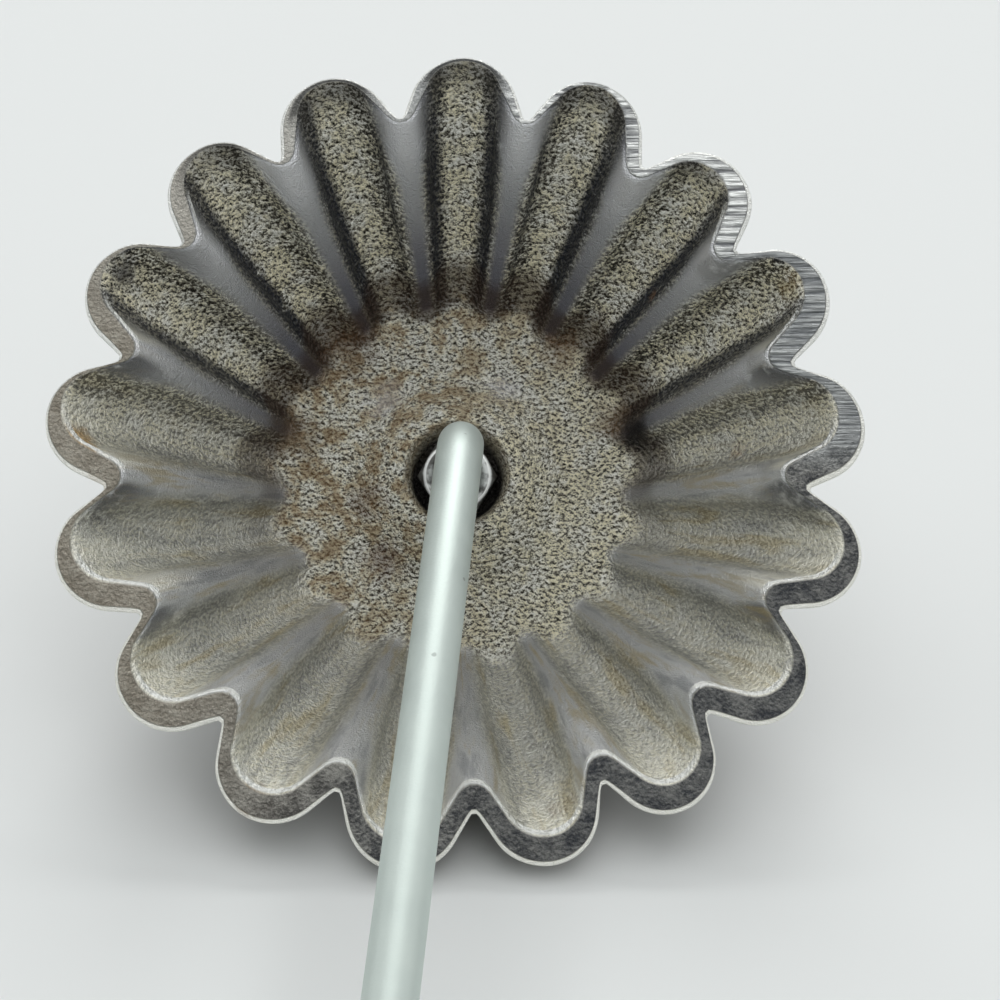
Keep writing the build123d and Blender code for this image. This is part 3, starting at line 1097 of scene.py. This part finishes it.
def ferrule_section():
    front, back = bare_length, bare_length + ferrule_length
    return rounded(
        [
            (rod_radius, front, 0),
            (ferrule_front_radius, front, 0.6),
            (ferrule_back_radius, back, 0.25),
            (ferrule_back_radius - ferrule_wall, back, 0.1),
            (ferrule_front_radius - ferrule_wall, front + ferrule_wall, 0),
            (rod_radius, front + ferrule_wall, 0),
        ]
    )


ferrule_plate = zinc_plate("ferrule_plate", (0.74, 0.79, 0.78), (0.62, 0.67, 0.66), 0.85, 0.28)
ferrule_skin = spun_section(ferrule_section(), closed=True)
make_piece("drawn_ferrule", ferrule_skin, "handled_rod", "ferrule", ferrule_plate)

# %% [markdown]
# ## The handle
# The handle is beech, with a tapered tenon in the ferrule, a swell for the palm, a waist
# for the fingers and a round end. It is out of view too, so it takes the shape that such
# handles have.

# %% Handle
handle_length = 96.0
tenon_length = 12.0
handle_neck_radius = 6.9
handle_end_radius = 10.0
# Keeps the round end just inside the end of the solid
handle_end_gap = 0.02
neck_round = 0.5
# Distance from the shoulder, radius and slope at the neck, the swell, the waist and the end
barrel_marks = [(0, handle_neck_radius, 0.4), (36, 10.8, 0.02)]
barrel_marks += [(70, 8.9, 0), (86, handle_end_radius, 0)]
barrel_steps = 16
end_steps = 12


def smooth_through(mark_a, mark_b, share):
    """A curve from one mark to the next that leaves and arrives with their slopes."""
    place_a, radius_a, slope_a = mark_a
    place_b, radius_b, slope_b = mark_b
    step = place_b - place_a
    rest = 1 - share
    radius = rest**2 * (1 + 2 * share) * radius_a + share**2 * (1 + 2 * rest) * radius_b
    radius += share * rest * step * (rest * slope_a - share * slope_b)
    return radius, between(place_a, place_b, share)


def handle_section():
    shoulder = bare_length + ferrule_length
    tenon_front = shoulder - tenon_length
    tang_end = bare_length + tang_length
    tenon_back_radius = ferrule_back_radius - ferrule_wall
    taper = (ferrule_back_radius - ferrule_front_radius) / (ferrule_length - ferrule_wall)
    section = [
        (0, tang_end),
        (rod_radius, tang_end),
        (rod_radius, tenon_front),
        (tenon_back_radius - taper * tenon_length, tenon_front),
        (tenon_back_radius, shoulder),
        (handle_neck_radius - neck_round, shoulder),
        (handle_neck_radius, shoulder + neck_round),
    ]
    for mark_a, mark_b in zip(barrel_marks, barrel_marks[1:]):
        for step in range(1, barrel_steps + 1):
            radius, along = smooth_through(mark_a, mark_b, step / barrel_steps)
            section.append((radius, shoulder + along))
    end_centre = shoulder + handle_length - handle_end_radius - handle_end_gap
    for step in range(1, end_steps + 1):
        round_end = handle_end_radius * direction(math.pi / 2 * (1 - step / end_steps))
        section.append((round_end.x, end_centre + round_end.y))
    return section


def beech():
    """Straight grain along the handle, with short dark flecks, and greyer where hands hold it."""
    finish = Finish("beech")
    place = finish.attribute("turned_place", "Vector")
    along_grain = finish.stretched(place, (1, 1, 0.08))
    bands = finish.grain(along_grain, 2.2, detail=3, distortion=0.6)
    short_grain = finish.grain(finish.stretched(place, (1, 1, 0.25)), 0.55, detail=1)
    flecks = finish.rise(short_grain, 0.60, 0.70)
    clouds = finish.grain(place, 12, detail=3)
    wood = finish.mix(bands, (0.36, 0.20, 0.10), (0.60, 0.40, 0.23))
    wood = finish.mix(flecks * 0.5, wood, (0.20, 0.10, 0.05))
    wood = finish.mix(finish.rise(clouds, 0.45, 0.75) * 0.35, wood, (0.25, 0.16, 0.10))
    return finish.surface(
        {
            "Base Color": wood,
            "Roughness": clouds * 0.2 + 0.38,
            "Normal": finish.bump(bands + flecks * -0.4, 0.00012),
        }
    )


handle_skin = spun_section(handle_section(), closed=False)
make_piece("turned_handle", handle_skin, "handled_rod", "handle", beech())

# %% [markdown]
# ## Table and light
# The photograph has a pale, plain table. Its light is soft and broad: most of it comes down
# from behind the cup, which leaves the upper flutes dark and throws a shadow forwards, and
# some comes from above the camera and lights the lower flutes.

# %% Table
def pale_table():
    finish = Finish("pale_table")
    pale = (0.74, 0.76, 0.755, 1)
    return finish.surface({"Base Color": pale, "Roughness": 0.7, "Specular IOR Level": 0.2})


table_skin = bmesh.new()
bmesh.ops.create_grid(table_skin, x_segments=1, y_segments=1, size=3)
table_mesh = bpy.data.meshes.new("table")
table_skin.to_mesh(table_mesh)
table_skin.free()
table = bpy.data.objects.new("table", table_mesh)
table_mesh.materials.append(pale_table())
bpy.context.scene.collection.objects.link(table)

# %% Lamps and world
def area_lamp(name, place, target, width, depth, power):
    lamp = bpy.data.objects.new(name, bpy.data.lights.new(name, "AREA"))
    lamp.data.shape = "RECTANGLE"
    lamp.data.size = width
    lamp.data.size_y = depth
    lamp.data.energy = power
    lamp.location = place
    lamp.rotation_euler = (Vector(target) - Vector(place)).to_track_quat("-Z", "Y").to_euler()
    bpy.context.scene.collection.objects.link(lamp)


area_lamp("overhead", (0, 0.15, 1.0), (0, 0.08, 0), 1.0, 0.9, 3.3)
area_lamp("behind", (0, 1.5, 1.36), (0, 0.08, 0), 1.2, 0.7, 16.0)
area_lamp("left", (-0.8, 0.15, 0.5), (0, 0.08, 0.03), 0.6, 0.6, 1.2)
area_lamp("right", (0.8, 0.15, 0.5), (0, 0.08, 0.03), 0.6, 0.6, 1.1)
area_lamp("front", (0.15, -0.7, 1.1), (0, 0.06, 0.03), 1.0, 0.8, 3.7)

world = bpy.data.worlds.new("pale_room")
world.use_nodes = True
background = world.node_tree.nodes["Background"]
background.inputs["Color"].default_value = (0.9, 0.93, 0.93, 1)
background.inputs["Strength"].default_value = 0.28
bpy.context.scene.world = world
bpy.context.scene.view_settings.view_transform = "Standard"
print("lamps", sorted(lamp.name for lamp in bpy.data.lights))
